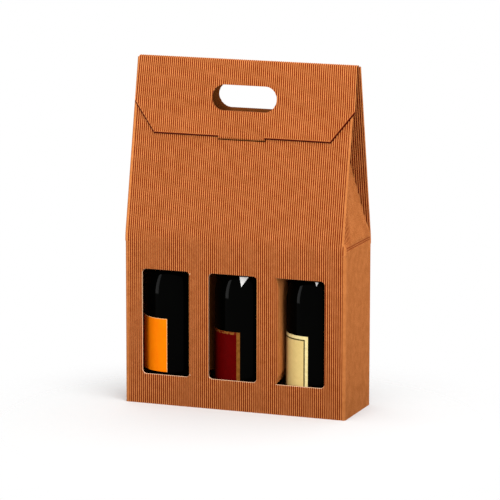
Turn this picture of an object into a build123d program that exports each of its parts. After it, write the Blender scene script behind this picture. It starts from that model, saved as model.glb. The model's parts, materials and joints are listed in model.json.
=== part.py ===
from build123d import *

import math
import os

# A carry carton for three wine bottles, folded from one sheet of open-fluted board.
# Millimetres. +Z is up, the windows face -Y, and the origin is at the middle of the base.

# Overall size of the closed carton
front_width = 270.0
side_depth = 88.0
shoulder_height = 197.0
ridge_height = 401.0

# Board: a flat liner inside, and flutes that run up the carton outside
board = 1.6
flute_height = 0.9
flute_pitch = 2.53
corner_radius = 2.4

# Ridge, where the front, the back and the folded gussets come together
ridge_gap = 0.6
fold_lap = 0.2
gusset_top_share = 0.9

# Base: two layers of flaps that lock under each other, with a stepped seam
base_seam = 0.8
seam_step = 9.0
seam_margin = 4.0

# Windows, with the outer two cut-outs folded inward as dividers
window_width = 58.6
window_height = 123.4
window_sill = 35.3
window_inset = 6.0
window_shift = -2.2
window_radius = 6.0
divider_play = 0.5

# Handle hole through the lid, the front and the back
handle_width = 79.0
handle_height = 29.0
handle_drop = 43.8

# Lid: a strip over the ridge and a flap on the front, with a tab for the slit
lid_clearance = 0.3
lid_length = 88.4
lid_side_length = 53.8
lid_chamfer = 26.5
hinge_gap = 0.6
tab_width = 56.0
tab_depth = 12.0
slit_clearance = 0.9

# Bottles, as wide as the room beside each other and between the front and back allows
bottles_across = 3
side_play = 1.4
depth_play = 4.4
bottle_gap = 12.0
bottle_height = 296.0
bottle_foot_chamfer = 3.0
body_height = 124.0
neck_start = 205.0
shoulder_bend_share = 0.42
shoulder_steps = 3
neck_radius = 14.6
bottle_flats = 32

# Foil capsule, with the stoppered mouth closed up inside it
foil = 0.4
capsule_length = 62.0

# Paper labels: the top, bottom and right-hand edge as the windows show them
paper = 0.25
paper_clearance = 0.05
label_turn = 118.0
label_tops = {"left": 100.3, "middle": 91.0, "right": 92.6}
label_bottoms = {"left": 37.6, "middle": 18.0, "right": 18.0}
label_right_edge_turns = {"left": 4.3, "middle": 7.2, "right": -0.6}

# Pointed neck labels on the shoulders of two bottles
collar_top = 160.5
collar_tips = {"middle": 144.1, "right": 150.6}
collar_offsets = {"middle": 5.6, "right": 7.7}
collar_left_widths = {"middle": 5.4, "right": 4.4}
collar_right_widths = {"middle": 9.9, "right": 3.6}

# One overrun serves all cuts
overrun = 10.0

# Worked-out places
half_width = front_width / 2
half_depth = side_depth / 2
ridge_half = 2 * board + ridge_gap / 2
panel_top = ridge_height - board - lid_clearance
panel_rise = panel_top - shoulder_height
panel_run = half_depth - ridge_half
panel_length = math.hypot(panel_rise, panel_run)
lean = math.atan2(panel_run, panel_rise)
side_lean = math.atan2(half_depth, panel_rise)
gusset_length = math.hypot(panel_rise, half_depth)
floor_top = 2 * board
bottle_pitch = (front_width - 2 * (board + side_play)) / bottles_across
bottle_radius = min(bottle_pitch - bottle_gap, side_depth - 2 * (board + depth_play)) / 2
window_pitch = bottle_pitch - window_inset
window_middle = window_sill + window_height / 2
divider_fold = window_pitch - window_width / 2
hinge_y = ridge_half
hinge_z = panel_top + lid_clearance / 2

outline_path = RectangleRounded(front_width, side_depth, corner_radius).wire()
flute_count = 4 * round(outline_path.length / (4 * flute_pitch))
flute_step = outline_path.length / flute_count


def flute_depth(across):
    """Depth of the board's outer face below its crests, at a place across the flutes."""
    phase = abs(across / flute_step) % 1
    return flute_height * (1 - abs(1 - 2 * phase))


def fluted_board(across_from, across_to, along_from, along_to):
    """A flat piece of board: X across the flutes, Y along them, crests at Z = 0."""
    half_step = flute_step / 2
    first = math.floor(across_from / half_step) + 1
    last = math.ceil(across_to / half_step)
    places = [across_from] + [k * half_step for k in range(first, last)] + [across_to]
    crest_line = [(x, flute_depth(x)) for x in places]
    section = Polyline(*crest_line, (across_to, board), (across_from, board), close=True)
    start = Plane((0, along_from, 0), x_dir=(1, 0, 0), z_dir=(0, 1, 0))
    return extrude(start * make_face(section), along_to - along_from)


def mitred(sheet, along, turn, end):
    """Trim an end of a flat piece (-1 low, 1 high) to half of the turn that it makes at its fold."""
    facing = (0, -end * math.cos(turn / 2), math.sin(turn / 2))
    return split(sheet, Plane((0, along, 0), x_dir=(1, 0, 0), z_dir=facing), keep=Keep.TOP)


def fold_wedge(length, turn):
    """The sliver that a wall loses inside its top edge, where the board above it turns inward."""
    reach = 2 * board
    corners = [(0, 0), (reach, 0), (reach, -reach * math.tan(turn / 2))]
    return extrude(Plane.YZ * make_face(Polyline(*corners, close=True)), length / 2, both=True)


def cut_to(sheet, outline):
    """Trim a flat piece of board to an outline in its own plane."""
    return sheet & extrude(outline, board, both=True)


def front_plane(offset):
    """Plane of the leaning front panel's crests, moved outward by an offset."""
    outward = Vector(0, -math.cos(lean), math.sin(lean))
    fold = Vector(0, -half_depth, shoulder_height)
    return Plane(fold + outward * offset, x_dir=(1, 0, 0), z_dir=outward)


def handle_cutter():
    """A stadium that goes right through the carton from front to back."""
    middle = ridge_height - handle_drop * math.cos(lean)
    hole = SlotOverall(handle_width, handle_height)
    return extrude(Plane.XZ * Pos(0, middle) * hole, side_depth, both=True)


def around_hinge(inner, outer, first_turn, last_turn, width):
    """A ring sector about the lid's hinge line, with turns counted down from the front."""
    middle_turn = (first_turn + last_turn) / 2
    corners = [
        [(hinge_y - radius * math.cos(turn), hinge_z - radius * math.sin(turn)) for radius in (inner, outer)]
        for turn in (first_turn, middle_turn, last_turn)
    ]
    inside = ThreePointArc(corners[0][0], corners[1][0], corners[2][0])
    outside = ThreePointArc(corners[0][1], corners[1][1], corners[2][1])
    ends = [Line(corners[0][0], corners[0][1]), Line(corners[2][0], corners[2][1])]
    return extrude(Plane.YZ * make_face([inside, outside, *ends]), width / 2, both=True)


# Lid edge and tab, which follow a circle about the hinge so that the tab can leave its slit
flap_plane = front_plane(lid_clearance + board)
flap_top = flap_plane.from_local_coords((0, panel_length, 0))
top_travel = (ridge_height - flap_top.Z) / math.cos(lean)
flap_top_along = panel_length + top_travel
ridge_front = flap_plane.from_local_coords((0, flap_top_along, 0))
flap_end_along = flap_top_along - lid_length
flap_end = flap_plane.from_local_coords((0, flap_end_along, -board))
tab_radius = math.hypot(flap_end.Y - hinge_y, flap_end.Z - hinge_z)
tab_turn = math.atan2(hinge_z - flap_end.Z, hinge_y - flap_end.Y)
tab_reach = tab_depth / tab_radius
slit_turn = tab_turn + (lid_clearance + board / 2) / tab_radius


def slit_cutter():
    """The slot across the front panel that the lid's tab goes through."""
    radius = tab_radius - board / 2
    middle = Vector(0, hinge_y - radius * math.cos(slit_turn), hinge_z - radius * math.sin(slit_turn))
    place = front_plane(0).to_local_coords(middle)
    slot = Box(tab_width + 2 * slit_clearance, board + 2 * slit_clearance, 2 * board)
    return front_plane(0) * Pos(0, place.Y, place.Z) * slot


def window_outline(fold_side):
    """A window with rounded corners, square where its cut-out is folded in (-1 left, 1 right, 0 none)."""
    outline = Rectangle(window_width, window_height)
    corners = [v for v in outline.vertices() if v.X * fold_side <= 0]
    return fillet(corners, window_radius)


def divider(fold_side):
    """The cut-out of an outer window, folded in at its edge to pass between two bottles."""
    fold_x = window_shift - fold_side * divider_fold
    travel = abs(fold_x) - bottle_pitch / 2 - divider_play
    towards_middle = math.atan2(travel, half_depth) * fold_side
    inward = Vector(math.sin(towards_middle), math.cos(towards_middle), 0)
    facing = Vector(-fold_side * inward.Y, fold_side * inward.X, 0)
    fold = Vector(fold_x, board * abs(inward.X) - half_depth, window_middle)
    plane = Plane(fold, x_dir=inward * -fold_side, z_dir=facing)
    outline = Pos(-fold_side * window_width / 2, 0) * window_outline(fold_side)
    return plane * extrude(outline, -board)


def walls():
    """The four upright walls, one fluted ring, with the three windows cut in the front."""
    start = outline_path.param_at_point((0, -half_depth))
    crest_line = []
    for k in range(2 * flute_count):
        share = (start + k / (2 * flute_count)) % 1
        across = outline_path.tangent_at(share)
        inward = Vector(-across.Y, across.X)
        crest_line.append(outline_path.position_at(share) + inward * (flute_height * (k % 2)))
    inner = RectangleRounded(front_width - 2 * board, side_depth - 2 * board, corner_radius - board)
    ring = extrude(make_face(Polyline(*crest_line, close=True)) - inner, shoulder_height)
    for place, fold_side in ((-1, 1), (0, 0), (1, -1)):
        outline = window_outline(fold_side)
        cutter = extrude(Plane.XZ * outline, board + overrun, both=True)
        ring -= Pos(window_shift + place * window_pitch, -half_depth, window_middle) * cutter
    for turn in (0, 180):
        top = Rotation(0, 0, turn) * Pos(0, 0, shoulder_height)
        ring -= top * Pos(0, -half_depth, 0) * fold_wedge(front_width, lean)
        ring -= top * Pos(half_width, 0, 0) * Rotation(0, 0, 90) * fold_wedge(side_depth, side_lean)
    return ring


def base():
    """Two layers of base flaps; the lower pair hook past each other at a stepped seam."""
    inset = flute_height + board
    plate = extrude(Rectangle(front_width - inset, side_depth - inset), floor_top)
    run = half_width - seam_margin
    for side in (-1, 1):
        groove = Box(run, base_seam, 2 * board)
        plate -= Pos(side * run / 2, -side * seam_step, 0) * groove
    return plate - Box(base_seam, 2 * seam_step + base_seam, 2 * board)


def leaning_panel():
    """Front or back above the shoulder, a full-width sheet that leans in to the ridge."""
    sheet = fluted_board(-half_width, half_width, 0, panel_length)
    return front_plane(0) * mitred(sheet, 0, lean, -1)


def gusset_wing():
    """The folded half of a side that lies against the inside of the leaning panel."""
    inward = Vector(0, math.cos(lean), -math.sin(lean))
    fold = Vector(half_width, -half_depth, shoulder_height)
    plane = Plane(fold + inward * (2 * board - fold_lap), x_dir=(-1, 0, 0), z_dir=inward)
    outline = make_face(Polyline((0, 0), (half_depth, panel_length), (0, panel_length), close=True))
    return plane * extrude(outline, -board)


def gusset_triangle():
    """The middle of a side above the shoulder, which tips inward between its wings."""
    outward = Vector(math.cos(side_lean), 0, math.sin(side_lean))
    plane = Plane((half_width, 0, shoulder_height), x_dir=(0, 1, 0), z_dir=outward)
    top = gusset_length * gusset_top_share
    tip = half_depth * (1 - gusset_top_share)
    corners = [(-half_depth, 0), (half_depth, 0), (tip, top), (-tip, top)]
    outline = make_face(Polyline(*corners, close=True))
    sheet = mitred(fluted_board(-half_depth, half_depth, 0, top), 0, side_lean, -1)
    return plane * cut_to(sheet, outline)


def carton():
    """The folded sheet: walls, base, leaning panels, gussets and the two dividers."""
    half_turn = Rotation(0, 0, 180)
    front = leaning_panel()
    back = half_turn * leaning_panel()
    wing = gusset_wing()
    wings = [wing, mirror(wing, Plane.YZ)]
    wings += [half_turn * piece for piece in wings]
    triangles = [gusset_triangle(), half_turn * gusset_triangle()]
    dividers = [divider(1), divider(-1)]
    whole = walls() + [base(), front - slit_cutter(), back, *wings, *triangles, *dividers]
    return whole - handle_cutter()


def lid():
    """The strip over the ridge, the flap on the front and the tab that goes in the slit."""
    strip_back = hinge_y - hinge_gap
    strip_plane = Plane((0, 0, ridge_height), x_dir=(1, 0, 0), z_dir=(0, 0, 1))
    turn = math.pi / 2 - lean
    strip_sheet = fluted_board(-half_width, half_width, ridge_front.Y, strip_back)
    strip = strip_plane * mitred(strip_sheet, ridge_front.Y, turn, -1)
    side_end = flap_top_along - lid_side_length
    narrow = half_width - lid_chamfer
    right = [(half_width, flap_top_along), (half_width, side_end), (narrow, flap_end_along)]
    left = [(-x, y) for x, y in reversed(right)]
    outline = make_face(Polyline(*right, *left, close=True))
    sheet = fluted_board(-half_width, half_width, flap_end_along, flap_top_along)
    flap = flap_plane * cut_to(mitred(sheet, flap_top_along, turn, 1), outline)
    tab_start = tab_turn - flute_height / tab_radius
    tab = around_hinge(tab_radius - board, tab_radius, tab_start, tab_turn + tab_reach, tab_width)
    return strip + flap + tab - handle_cutter()


def shoulder_stations(gap):
    """Radius and height along the sloping shoulder, which bends in at the body and out at the neck."""
    rise = neck_start - body_height
    turn = 2 * math.atan2(bottle_radius - neck_radius, rise)
    both_radii = rise / math.sin(turn)
    bend = both_radii * shoulder_bend_share
    hollow = both_radii - bend
    angles = [turn * k / shoulder_steps for k in range(shoulder_steps + 1)]
    turns = [(math.cos(angle), math.sin(angle)) for angle in angles]
    body_end = [(bottle_radius - bend * (1 - c), body_height + bend * s) for c, s in turns]
    neck_end = [(neck_radius + hollow * (1 - c), neck_start - hollow * s) for c, s in turns]
    return [(radius + gap, height) for radius, height in body_end + neck_end[-2::-1]]


def turned(stations):
    """A round form with fine flats, through the radius and height of each station."""
    sections = [Pos(0, 0, height) * RegularPolygon(radius, bottle_flats) for radius, height in stations]
    return loft(sections, ruled=True)


def bottle():
    """A sloping-shouldered bottle up to the edge of its capsule, filled and closed, so one solid."""
    foot = bottle_radius - bottle_foot_chamfer
    neck_end = bottle_height - capsule_length
    low = [(foot, 0), (bottle_radius, bottle_foot_chamfer)]
    return turned([*low, *shoulder_stations(0), (neck_radius, neck_end)])


def capsule():
    """The foil cap drawn down the neck, closed and filled by the mouth and its stopper."""
    radius = neck_radius + foil
    return turned([(radius, bottle_height - capsule_length), (radius, bottle_height)])


def label(side):
    """A paper label wrapped on the body, turned as the bottle stands in the carton."""
    low = label_bottoms[side] - floor_top
    high = label_tops[side] - floor_top
    inner = bottle_radius + paper_clearance
    outer = inner + paper
    ring = turned([(outer, low), (outer, high)]) - turned([(inner, low), (inner, high)])
    reach = bottle_radius + overrun
    section = Pos(reach / 2, (low + high) / 2) * Rectangle(reach, high - low + overrun)
    wedge = revolve(Plane.XZ * section, Axis.Z, label_turn)
    quarter_turn = 90.0
    return ring & (Rotation(0, 0, label_right_edge_turns[side] - quarter_turn - label_turn) * wedge)


def neck_label(side):
    """A pointed label that lies on the front of the shoulder."""
    outer = turned(shoulder_stations(paper_clearance + paper)[: shoulder_steps + 1])
    skin = outer - turned(shoulder_stations(paper_clearance)[: shoulder_steps + 1])
    tip = collar_tips[side] - floor_top
    top = collar_top - floor_top
    corners = [(0, tip), (collar_right_widths[side], top), (-collar_left_widths[side], top)]
    point = extrude(Plane.XZ * make_face(Polyline(*corners, close=True)), bottle_radius + overrun)
    return skin & (Pos(collar_offsets[side], 0, 0) * point)


os.makedirs("parts", exist_ok=True)
nodes = {"carton": carton(), "lid": lid()}
for side, place in (("left", -1), ("middle", 0), ("right", 1)):
    stand = Pos(place * bottle_pitch, 0, floor_top)
    nodes["bottle_" + side] = stand * bottle()
    nodes["capsule_" + side] = stand * capsule()
    nodes["label_" + side] = stand * label(side)
    if side != "left":
        nodes["neck_label_" + side] = stand * neck_label(side)
for name, shape in nodes.items():
    export_step(shape, "parts/" + name + ".step")
    print(name, round(shape.volume), "mm3")
print("lid hinge line at", round(hinge_y, 3), round(hinge_z, 3))
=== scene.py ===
# %% [markdown]
# # A carry carton for three bottles
# The object is a gable-topped carton, folded from one sheet of open-fluted board: a flat liner
# inside and a row of fine flutes outside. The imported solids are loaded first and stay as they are,
# because they say where everything sits. The pieces made below take their places from them.

import json
import math

import bmesh
import bpy
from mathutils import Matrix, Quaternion, Vector
from mathutils.bvhtree import BVHTree
from mathutils.interpolate import poly_3d_calc


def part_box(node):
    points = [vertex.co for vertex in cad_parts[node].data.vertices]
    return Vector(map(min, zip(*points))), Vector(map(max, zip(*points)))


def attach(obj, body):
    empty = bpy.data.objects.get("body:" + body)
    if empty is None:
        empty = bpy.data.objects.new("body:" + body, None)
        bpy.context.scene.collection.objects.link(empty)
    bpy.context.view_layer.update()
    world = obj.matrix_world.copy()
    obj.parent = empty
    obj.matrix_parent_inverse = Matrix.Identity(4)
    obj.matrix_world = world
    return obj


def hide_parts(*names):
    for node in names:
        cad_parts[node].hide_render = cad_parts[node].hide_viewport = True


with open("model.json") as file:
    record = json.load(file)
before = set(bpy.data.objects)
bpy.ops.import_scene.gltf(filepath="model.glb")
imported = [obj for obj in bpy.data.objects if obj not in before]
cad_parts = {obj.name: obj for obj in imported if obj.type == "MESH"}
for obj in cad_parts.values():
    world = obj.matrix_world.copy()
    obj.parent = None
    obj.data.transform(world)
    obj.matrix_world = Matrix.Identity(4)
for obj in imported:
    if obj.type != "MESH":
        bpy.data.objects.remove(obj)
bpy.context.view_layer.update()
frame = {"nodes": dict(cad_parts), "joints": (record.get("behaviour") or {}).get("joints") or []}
carton_low, carton_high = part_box("carton")
lid_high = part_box("lid")[1]
hinge = Vector(frame["joints"][0]["pos_m"])
print("frame nodes:", len(frame["nodes"]), "carton width", round(carton_high.x - carton_low.x, 4))

# %% [markdown]
# ## Camera
# A long lens far away keeps the upright edges nearly parallel, as in a catalogue picture. The
# distance, turn and lens were worked out from the carton's corners, so they are written as plain
# values. The lens is given in pixels of a square picture and turned into millimetres of film here.

# %% Camera at the picture's viewing angle
image_side = 500
focal_pixels = 3288.2
camera_azimuth = math.radians(20.71)
camera_elevation = math.radians(10.66)
camera_roll = math.radians(0.11)
camera_distance = 3.7837
look_at = Vector((0.0026, 0, 0.1807))

across_floor = math.cos(camera_elevation)
backward = Vector((
    math.sin(camera_azimuth) * across_floor,
    -math.cos(camera_azimuth) * across_floor,
    math.sin(camera_elevation),
))
camera_data = bpy.data.cameras.new("studio_camera")
camera_data.lens = focal_pixels / image_side * camera_data.sensor_width
camera = bpy.data.objects.new("studio_camera", camera_data)
camera.location = look_at + backward * camera_distance
camera.rotation_mode = "QUATERNION"
camera.rotation_quaternion = backward.to_track_quat("Z", "Y") @ Quaternion((0, 0, 1), camera_roll)
bpy.context.scene.collection.objects.link(camera)
bpy.context.scene.camera = camera
bpy.context.scene.view_settings.view_transform = "Standard"
print("lens", round(camera_data.lens, 1), "mm at", [round(x, 3) for x in camera.location])

# %% [markdown]
# ## Node helpers
# Materials below are built from shader nodes. Short helpers keep each recipe readable: they add a node
# with its options and values, feed its sockets, and start a material or a node group.

# %% Helpers for shader nodes
MIX_SHARE, MIX_FIRST, MIX_SECOND, MIX_RESULT = 0, 6, 7, 2


def add_node(tree, kind, options=None, **sockets):
    """Add a node, set its options by name, and set the default values of its input sockets."""
    node = tree.nodes.new(kind)
    for name, value in (options or {}).items():
        setattr(node, name, value)
    for name, value in sockets.items():
        node.inputs[name.replace("_", " ")].default_value = value
    return node


def feed(tree, socket, value):
    """Link a socket to another one, or give it a plain value."""
    if isinstance(value, bpy.types.NodeSocket):
        tree.links.new(value, socket)
    else:
        socket.default_value = value


def maths(tree, operation, *values):
    """A Math node on numbers or sockets, which gives back its result."""
    node = add_node(tree, "ShaderNodeMath", {"operation": operation})
    for socket, value in zip(node.inputs, values):
        feed(tree, socket, value)
    return node.outputs[0]


def blend_colours(tree, share, first, second):
    """A Mix node between two colours or sockets, which gives back its result."""
    node = add_node(tree, "ShaderNodeMix", {"data_type": "RGBA"})
    for index, value in ((MIX_SHARE, share), (MIX_FIRST, first), (MIX_SECOND, second)):
        feed(tree, node.inputs[index], value)
    return node.outputs[MIX_RESULT]


def new_group(name, inputs, outputs):
    """A node group with number sockets; gives back the group, its input node and its output node."""
    group = bpy.data.node_groups.new(name, "ShaderNodeTree")
    for in_out, sockets in (("INPUT", inputs), ("OUTPUT", outputs)):
        for socket in sockets:
            group.interface.new_socket(socket, in_out=in_out, socket_type="NodeSocketFloat")
    return group, add_node(group, "NodeGroupInput"), add_node(group, "NodeGroupOutput")


def new_material(name, **sockets):
    """A material with some of its shader's values set; gives back the material, its tree and its shader."""
    material = bpy.data.materials.new(name)
    material.use_nodes = True
    tree = material.node_tree
    shader = tree.nodes["Principled BSDF"]
    for socket, value in sockets.items():
        shader.inputs[socket.replace("_", " ")].default_value = value
    return material, tree, shader


def seen_directly(tree):
    """1 for rays from the camera or a mirror-like or clear surface, 0 for rays that carry soft light."""
    path = add_node(tree, "ShaderNodeLightPath")
    glossy, clear = path.outputs["Is Glossy Ray"], path.outputs["Is Transmission Ray"]
    return maths(tree, "MAXIMUM", path.outputs["Is Camera Ray"], maths(tree, "MAXIMUM", glossy, clear))


print("helpers ready")

# %% [markdown]
# ## Studio
# The carton stands in a white tent, as a product on a catalogue page does. The world is that tent:
# white at a strength of 1 where the camera or a gloss sees it, and a little less as the soft fill on
# the object. The sheet on the floor keeps the shadow and fades out to the white, so it has no edge. It
# sends less light up than the camera sees on it, because the walls darken towards the floor.

# %% White surroundings
soft_fill = 0.82
world = bpy.data.worlds.new("studio_world")
bpy.context.scene.world = world
world.use_nodes = True
tent = world.node_tree.nodes["Background"]
tent.inputs["Color"].default_value = (1, 1, 1, 1)
strength = maths(world.node_tree, "MAXIMUM", seen_directly(world.node_tree), soft_fill)
world.node_tree.links.new(strength, tent.inputs["Strength"])
print("soft fill", soft_fill)

# %% Floor sheet
floor_radius = 1.6
floor_fade_start = 0.1
floor_fade_end = 0.38
floor_sides = 96
floor_middle = (0.03, -0.1, 0)
floor_seen = (0.73, 0.73, 0.73, 1)
floor_bounce = (0.06, 0.06, 0.06, 1)

floor_mesh = bpy.data.meshes.new("floor_sheet")
rim = [2 * math.pi * k / floor_sides for k in range(floor_sides)]
floor_mesh.from_pydata([(floor_radius * math.cos(a), floor_radius * math.sin(a), 0) for a in rim], [],
                       [list(range(floor_sides))])
floor = bpy.data.objects.new("floor_sheet", floor_mesh)
floor.location = floor_middle
bpy.context.scene.collection.objects.link(floor)

floor_material, tree, _ = new_material("white_sheet")
tree.nodes.clear()
floor_paper = add_node(tree, "ShaderNodeBsdfDiffuse")
floor_tone = blend_colours(tree, seen_directly(tree), floor_bounce, floor_seen)
tree.links.new(floor_tone, floor_paper.inputs["Color"])
place = add_node(tree, "ShaderNodeTexCoord")
reach = add_node(tree, "ShaderNodeVectorMath", {"operation": "LENGTH"})
tree.links.new(place.outputs["Object"], reach.inputs[0])
fade = add_node(tree, "ShaderNodeMapRange", {"interpolation_type": "SMOOTHSTEP"},
                From_Min=floor_fade_start, From_Max=floor_fade_end)
tree.links.new(reach.outputs["Value"], fade.inputs["Value"])
clear = add_node(tree, "ShaderNodeBsdfTransparent")
whole = add_node(tree, "ShaderNodeMixShader")
tree.links.new(fade.outputs[0], whole.inputs[0])
tree.links.new(floor_paper.outputs[0], whole.inputs[1])
tree.links.new(clear.outputs[0], whole.inputs[2])
tree.links.new(whole.outputs[0], add_node(tree, "ShaderNodeOutputMaterial").inputs["Surface"])
floor_mesh.materials.append(floor_material)
print("floor sheet of radius", floor_radius)

# %% Soft boxes
carton_middle = Vector((0, 0, 0.2))


def soft_box(name, place, width, height, watts, mirrored=False):
    """A rectangular lamp that faces the carton; a mirrored one shows only in glossy surfaces."""
    data = bpy.data.lights.new(name, "AREA")
    data.shape = "RECTANGLE"
    data.size = width
    data.size_y = height
    data.energy = watts
    lamp = bpy.data.objects.new(name, data)
    lamp.location = place
    lamp.rotation_mode = "QUATERNION"
    lamp.rotation_quaternion = (Vector(place) - carton_middle).to_track_quat("Z", "Y")
    lamp.visible_glossy = mirrored
    lamp.visible_diffuse = not mirrored
    bpy.context.scene.collection.objects.link(lamp)


soft_box("top_box", (0.55, -0.5, 1.7), width=0.9, height=0.9, watts=18.5)
soft_box("front_box", (-0.5, -2.5, 0.7), width=1, height=1, watts=25)
soft_box("right_box", (2.1, -1.6, 0.55), width=1, height=1, watts=12)
soft_box("streak_box", (-0.665, -0.46, 0.27), width=0.18, height=0.5, watts=3.3, mirrored=True)
print("soft boxes ready")

# %% [markdown]
# ## The board
# Open-fluted board has a flat liner glued to a waved sheet, and here the waves face outward and run
# up the carton. A bump map would look flat at the cut edges and at the outline, so the waves are
# real: each sheet is a grid whose columns follow the wave and whose rows follow the folds. One
# builder makes every sheet, and a short function says where its crest lies.

# %% Sizes that the whole carton shares
board = 0.0016
flute_height = 0.0009
flute_count = 280
columns_per_flute = 8
corner_radius = 0.0034
shoulder = 0.197
ridge_half = hinge.y
half_width = carton_high.x
half_depth = carton_high.y
panel_top = carton_high.z
lean = math.atan2(half_depth - ridge_half, panel_top - shoulder)
panel_length = math.hypot(half_depth - ridge_half, panel_top - shoulder)
straight_x = half_width - corner_radius
straight_y = half_depth - corner_radius
outline_length = 4 * (straight_x + straight_y) + 2 * math.pi * corner_radius
flute_step = outline_length / flute_count
print("flute step", round(flute_step * 1000, 3), "mm, panel lean", round(math.degrees(lean), 2))

# %% The wave, the columns and the sheet builder
FLUTED, LINER, CUT = 0, 1, 2
# Levels of painted shade: 1 is a flute valley's painted shade and 2 a painted shadow line.
VALLEY, SHADOW_LINE = 1, 2
inner_shade = 0.5


def wave_share(across):
    """0 on a crest and 1 in a valley, at a distance across the flutes."""
    return (1 - math.cos(2 * math.pi * across / flute_step)) / 2


def wave_columns(start, end):
    """Places across the flutes from start to end, evenly spaced on the wave."""
    spacing = flute_step / columns_per_flute
    first = math.floor(start / spacing + 0.5) + 1
    last = math.ceil(end / spacing - 0.5)
    return [start] + [k * spacing for k in range(first, last)] + [end]


def eased(share):
    """0 below 0, 1 above 1, and a smooth step between."""
    share = min(max(share, 0), 1)
    return share * share * (3 - 2 * share)


def sheet_mesh(name, columns, rows, crest_at, ring=False, press_at=None):
    """A closed sheet: crest_at(column, row) gives the crest point and the outward direction.

    press_at(column, row) gives the share of the wave that a crease or an edge leaves standing, and
    the least painted shade there: 1 is as dark as a flute valley and 2 is a painted shadow line.
    """
    outer, inner, valleys = [], [], []
    for row in rows:
        for across in columns:
            point, outward = crest_at(across, row)
            kept, shade = press_at(across, row) if press_at else (1, 0)
            depth = wave_share(across) * kept
            valleys.append(max(depth, shade))
            outer.append(point - outward * flute_height * depth)
            inner.append(point - outward * board)
    count = len(columns)
    backs = len(outer)
    faces, kinds = [], []
    spans = range(count if ring else count - 1)
    for r in range(len(rows) - 1):
        for c in spans:
            a, b = r * count + c, r * count + (c + 1) % count
            faces += [(a, b, b + count, a + count),
                      (a + backs, a + count + backs, b + count + backs, b + backs)]
            kinds += [FLUTED, LINER]
        if not ring:
            a, b = r * count, r * count + count - 1
            faces += [(a, a + count, a + count + backs, a + backs),
                      (b, b + backs, b + count + backs, b + count)]
            kinds += [CUT, CUT]
    top = (len(rows) - 1) * count
    for c in spans:
        a, b = c, (c + 1) % count
        faces += [(a, a + backs, b + backs, b), (a + top, b + top, b + top + backs, a + top + backs)]
        kinds += [CUT, CUT]
    mesh = bpy.data.meshes.new(name)
    mesh.from_pydata(outer + inner, [], faces)
    mesh.polygons.foreach_set("material_index", kinds)
    shades = valleys + [inner_shade] * backs
    mesh.attributes.new("valley", "FLOAT", "POINT").data.foreach_set("value", shades)
    return mesh


def piece_from(mesh, materials):
    """An object that shows a mesh, with its materials in order and its faces turned outward."""
    work = bmesh.new()
    work.from_mesh(mesh)
    bmesh.ops.recalc_face_normals(work, faces=work.faces)
    work.to_mesh(mesh)
    work.free()
    for material in materials:
        mesh.materials.append(material)
    piece = bpy.data.objects.new(mesh.name, mesh)
    bpy.context.scene.collection.objects.link(piece)
    return piece


print("sheet builder ready")

# %% [markdown]
# ## Board finish
# The sheet is dyed kraft paper: a warm brown with darker and paler fibres. Painted shade darkens the
# flute valleys against the crests, and pressed flutes at the folds take a little of it. Fresh window
# cuts show the pale core, while the cut edges of the leaning panels, gussets and lid are painted a
# deep brown as shade. Paper fibre shows on all of these and on the labels too, so it is a node group
# with its own scale, and each finish mixes its own colours with it.


# %% Paper fibre group
def paper_fibre_group():
    """Soft blotches and short fibres: a mask of 0 to 1 and a height for bump."""
    group, start, end = new_group("paper_fibre", ("Blotch Scale", "Fibre Scale", "Stretch"),
                                  ("Blotch", "Fibre", "Height"))
    place = add_node(group, "ShaderNodeTexCoord")
    blotch = add_node(group, "ShaderNodeTexNoise", Detail=4, Roughness=0.6)
    group.links.new(place.outputs["Object"], blotch.inputs["Vector"])
    group.links.new(start.outputs["Blotch Scale"], blotch.inputs["Scale"])
    flatten = add_node(group, "ShaderNodeCombineXYZ", X=1, Y=1)
    group.links.new(start.outputs["Stretch"], flatten.inputs["Z"])
    stretched = add_node(group, "ShaderNodeVectorMath", {"operation": "MULTIPLY"})
    group.links.new(place.outputs["Object"], stretched.inputs[0])
    group.links.new(flatten.outputs[0], stretched.inputs[1])
    fibre = add_node(group, "ShaderNodeTexNoise", Detail=6, Roughness=0.7)
    group.links.new(stretched.outputs[0], fibre.inputs["Vector"])
    group.links.new(start.outputs["Fibre Scale"], fibre.inputs["Scale"])
    group.links.new(blotch.outputs["Fac"], end.inputs["Blotch"])
    group.links.new(fibre.outputs["Fac"], end.inputs["Fibre"])
    height = maths(group, "MULTIPLY", fibre.outputs["Fac"], blotch.outputs["Fac"])
    group.links.new(height, end.inputs["Height"])
    return group


paper_fibre = paper_fibre_group()
print("group", paper_fibre.name, "with", len(paper_fibre.nodes), "nodes")

# %% A paper-like finish and the four finishes of the board
fibre_weight = 0.5
fibre_low, fibre_high = 0.3, 0.7
bump_distance = 0.0002


def paper_finish(name, deep, pale, roughness, blotch_scale, fibre_scale, stretch, bump, sheen=0.25):
    """A material that runs from deep to pale with the fibre; gives back it, its shader and its colour."""
    material, tree, shader = new_material(name, Roughness=roughness, Specular_IOR_Level=sheen)
    fibre = add_node(tree, "ShaderNodeGroup", {"node_tree": paper_fibre},
                     Blotch_Scale=blotch_scale, Fibre_Scale=fibre_scale, Stretch=stretch)
    blotch = maths(tree, "MULTIPLY", fibre.outputs["Blotch"], 1 - fibre_weight)
    mixed = maths(tree, "MULTIPLY_ADD", fibre.outputs["Fibre"], fibre_weight, blotch)
    spread = add_node(tree, "ShaderNodeMapRange", From_Min=fibre_low, From_Max=fibre_high)
    tree.links.new(mixed, spread.inputs["Value"])
    colour = blend_colours(tree, spread.outputs[0], deep, pale)
    raised = add_node(tree, "ShaderNodeBump", Strength=bump, Distance=bump_distance)
    tree.links.new(fibre.outputs["Height"], raised.inputs["Height"])
    tree.links.new(raised.outputs[0], shader.inputs["Normal"])
    tree.links.new(colour, shader.inputs["Base Color"])
    return material, shader, colour


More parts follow.
